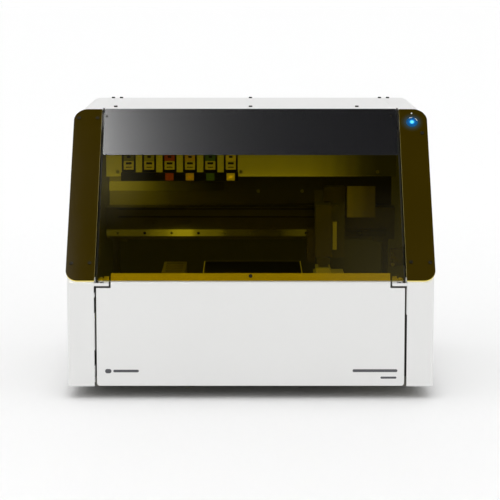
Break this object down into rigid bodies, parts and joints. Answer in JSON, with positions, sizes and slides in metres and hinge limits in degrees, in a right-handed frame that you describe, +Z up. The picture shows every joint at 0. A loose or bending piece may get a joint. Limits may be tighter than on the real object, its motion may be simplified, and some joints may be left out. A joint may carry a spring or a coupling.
{
  "type": "flatbed uv printer",
  "caption": "Enclosed desktop flatbed ultraviolet printer: white sheet-metal housing with a sloping tinted lift-up door, moving print carriage, ink bay and rising, feeding print table.",
  "frame": {"origin": "on the floor under the middle of the housing", "axes": "+X to the viewer's right seen from the front, +Y towards the back, +Z up"},
  "size_m": [0.766, 0.6704, 0.5858],
  "materials": {
    "white_paint": "fine satin powder coat",
    "inner_paint": "satin paint",
    "dark_paint": "matt black paint",
    "tint": "polished tinted acrylic",
    "band": "semi-gloss black",
    "steel": "ground steel",
    "aluminium": "milled and anodised",
    "black_plastic": "fine moulded grain",
    "ink_plastic": "moulded",
    "rubber": "matt",
    "white_plastic": "moulded",
    "led_blue": "lit ring",
    "lamp_lens": "frosted",
    "pcb": "solder mask"
  },
  "bodies": {
    "chassis": {"base_pan": "steel", "left_casing": "white_paint", "right_casing": "white_paint", "top_cover": "white_paint", "rear_cover": "white_paint", "inner_side_walls": "inner_paint", "rear_inner_panels": "dark_paint", "left_tint_panel": "tint", "right_tint_panel": "tint", "outer_screws": "steel", "hinge_pins": "steel", "inner_front_cover": "inner_paint", "inner_screws": "steel", "ink_rack": "dark_paint", "x_beam": "aluminium", "x_rail": "steel", "beam_uprights": "aluminium", "x_motor": "black_plastic", "x_belt": "rubber", "pulley_cover": "inner_paint", "cable_clips": "black_plastic", "flush_box": "inner_paint", "y_frame": "aluminium", "y_rails": "steel", "y_motor": "black_plastic", "service_base": "dark_paint", "main_board": "pcb", "power_supply": "aluminium", "fan_frame": "black_plastic", "power_inlet": "black_plastic", "data_ports": "steel", "door_sensor": "steel", "door_stops": "aluminium", "feet": "rubber", "led_ring": "led_blue", "chamber_light": "lamp_lens"},
    "door": {"door_window": "tint", "door_band": "band", "door_lower_panel": "white_paint", "door_hinge_arms": "steel"},
    "carriage": {"carriage_plate": "dark_paint", "carriage_cover": "dark_paint", "print_heads": "steel", "uv_lamp": "dark_paint", "x_rail_block": "steel", "ink_dampers": "black_plastic"},
    "belt_drive": {"x_motor_pulley": "steel"},
    "belt_idler": {"x_idler_pulley": "steel"},
    "table_saddle": {"y_saddle": "aluminium", "z_motor": "black_plastic"},
    "feed_screw": {"y_screw": "steel"},
    "table": {"table_plate": "aluminium", "table_rods": "steel"},
    "cap": {"cap_lift": "rubber"},
    "fan": {"fan_impeller": "black_plastic"},
    "switch": {"power_switch": "black_plastic"},
    "button": {"power_button": "white_plastic"},
    "ink_1": {"cartridge_1": "ink_plastic"},
    "ink_2": {"cartridge_2": "ink_plastic"},
    "ink_3": {"cartridge_3": "ink_plastic"},
    "ink_4": {"cartridge_4": "ink_plastic"},
    "ink_5": {"cartridge_5": "ink_plastic"},
    "ink_6": {"cartridge_6": "ink_plastic"}
  },
  "joints": [
    {"name": "door_hinge", "type": "hinge", "parent": "chassis", "child": "door", "pos_m": [0, -0.05, 0.578], "axis": [-1, 0, 0], "range_deg": [0, 78]},
    {"name": "carriage_slide", "type": "slide", "parent": "chassis", "child": "carriage", "axis": [1, 0, 0], "range_m": [-0.43, 0]},
    {"name": "belt_drive_turn", "type": "hinge", "parent": "chassis", "child": "belt_drive", "pos_m": [0.245, 0.016, 0.347], "axis": [0, 1, 0], "continuous": true},
    {"name": "belt_idler_turn", "type": "hinge", "parent": "chassis", "child": "belt_idler", "pos_m": [-0.3, 0.016, 0.347], "axis": [0, 1, 0], "continuous": true},
    {"name": "table_feed", "type": "slide", "parent": "chassis", "child": "table_saddle", "axis": [0, 1, 0], "range_m": [-0.06, 0.2]},
    {"name": "feed_screw_turn", "type": "hinge", "parent": "chassis", "child": "feed_screw", "pos_m": [0.0045, 0, 0.058], "axis": [0, 1, 0], "continuous": true},
    {"name": "table_lift", "type": "slide", "parent": "table_saddle", "child": "table", "axis": [0, 0, 1], "range_m": [-0.062, 0.004]},
    {"name": "cap_slide", "type": "slide", "parent": "chassis", "child": "cap", "axis": [0, 0, 1], "range_m": [-0.012, 0]},
    {"name": "fan_turn", "type": "hinge", "parent": "chassis", "child": "fan", "pos_m": [-0.25, 0.317, 0.4], "axis": [0, 1, 0], "continuous": true},
    {"name": "switch_rock", "type": "hinge", "parent": "chassis", "child": "switch", "pos_m": [0.24, 0.326, 0.099], "axis": [1, 0, 0], "range_deg": [0, 16]},
    {"name": "button_press", "type": "slide", "parent": "chassis", "child": "button", "axis": [0, 0.7664, -0.6424], "range_m": [0, 0.0015], "stiffness_N_per_m": 400, "springref_m": -0.002},
    {"name": "ink_1_slide", "type": "slide", "parent": "chassis", "child": "ink_1", "axis": [0, -1, 0], "range_m": [0, 0.045]},
    {"name": "ink_2_slide", "type": "slide", "parent": "chassis", "child": "ink_2", "axis": [0, -1, 0], "range_m": [0, 0.045]},
    {"name": "ink_3_slide", "type": "slide", "parent": "chassis", "child": "ink_3", "axis": [0, -1, 0], "range_m": [0, 0.045]},
    {"name": "ink_4_slide", "type": "slide", "parent": "chassis", "child": "ink_4", "axis": [0, -1, 0], "range_m": [0, 0.045]},
    {"name": "ink_5_slide", "type": "slide", "parent": "chassis", "child": "ink_5", "axis": [0, -1, 0], "range_m": [0, 0.045]},
    {"name": "ink_6_slide", "type": "slide", "parent": "chassis", "child": "ink_6", "axis": [0, -1, 0], "range_m": [0, 0.045]}
  ],
  "couplings": [
    {"joint": "belt_drive_turn", "follows": "carriage_slide", "rad_per_m": -112.36},
    {"joint": "belt_idler_turn", "follows": "carriage_slide", "rad_per_m": -112.36},
    {"joint": "feed_screw_turn", "follows": "table_feed", "rad_per_m": -314.16}
  ]
}
